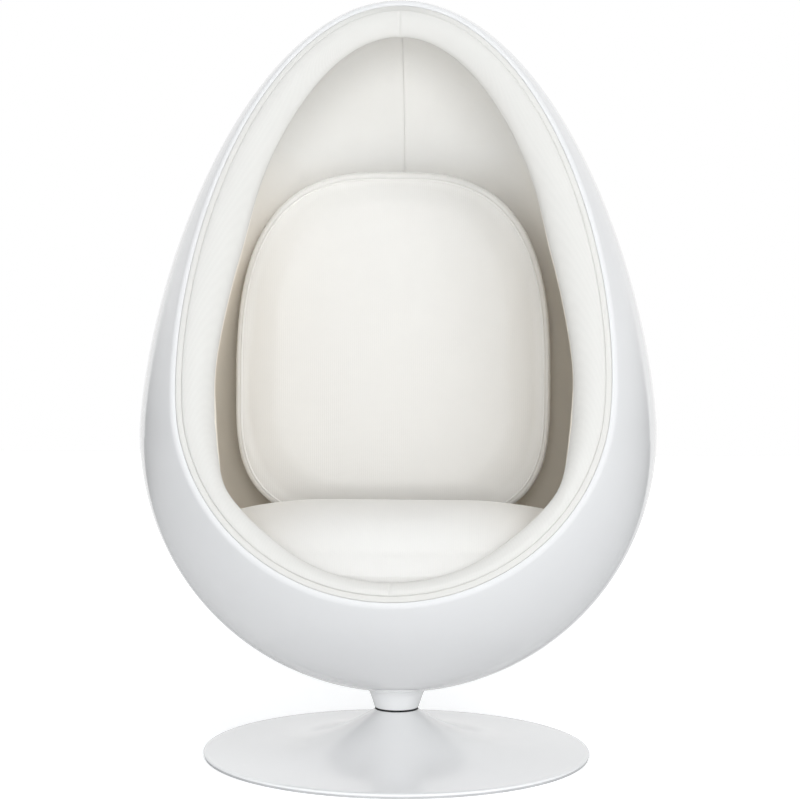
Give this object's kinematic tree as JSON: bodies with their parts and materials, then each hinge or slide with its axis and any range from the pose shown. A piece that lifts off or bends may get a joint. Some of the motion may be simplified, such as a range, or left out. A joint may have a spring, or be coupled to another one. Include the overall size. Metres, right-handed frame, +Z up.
{
  "type": "pod swivel lounge chair",
  "caption": "Egg-shaped moulded shell with a large oval front opening, padded lining and loose cushions, turning on a short neck above a flat trumpet pedestal.",
  "frame": {"origin": "on the floor at the centre of the pedestal, on the swivel axis", "axes": "+Z up along the swivel axis, the chair faces -Y and +X is to the right of someone who looks at its front"},
  "size_m": [0.8478, 0.7691, 1.247],
  "materials": {
    "white_shell": "polished gel coat",
    "shell_core": "bare laminate",
    "white_casting": "gloss enamel",
    "bright_steel": "ground",
    "dark_steel": "blackened",
    "cage_brass": "satin",
    "bush_plastic": "plain",
    "grey_rubber": "matt",
    "black_rubber": "matt",
    "lining_fabric": "fine weave over padding",
    "cushion_fabric": "fine ribbed weave",
    "foam": "open-cell foam"
  },
  "bodies": {
    "base": {"pedestal": "white_casting", "floor_ring": "grey_rubber", "spindle": "bright_steel", "spindle_bolts": "dark_steel", "lower_race": "bright_steel", "thrust_balls": "bright_steel", "ball_cage": "cage_brass", "end_washer": "bright_steel", "circlip": "dark_steel", "neck_ring": "black_rubber"},
    "pod": {"upper_race": "bright_steel", "swivel_sleeve": "dark_steel", "lower_bush": "bush_plastic", "upper_bush": "bush_plastic", "neck_collar": "white_casting", "shell_pad": "shell_core", "backing_plate": "dark_steel", "plate_washers": "bright_steel", "plate_bolts": "dark_steel", "outer_shell": "white_shell", "edge_welt": "lining_fabric", "edge_roll": "lining_fabric", "lining_left": "lining_fabric", "lining_right": "lining_fabric", "seat_base": "foam", "seat_cushion": "cushion_fabric", "back_cushion": "cushion_fabric"}
  },
  "joints": [
    {"name": "swivel", "type": "hinge", "parent": "base", "child": "pod", "pos_m": [0, 0, 0.07], "axis": [0, 0, 1], "continuous": true}
  ]
}
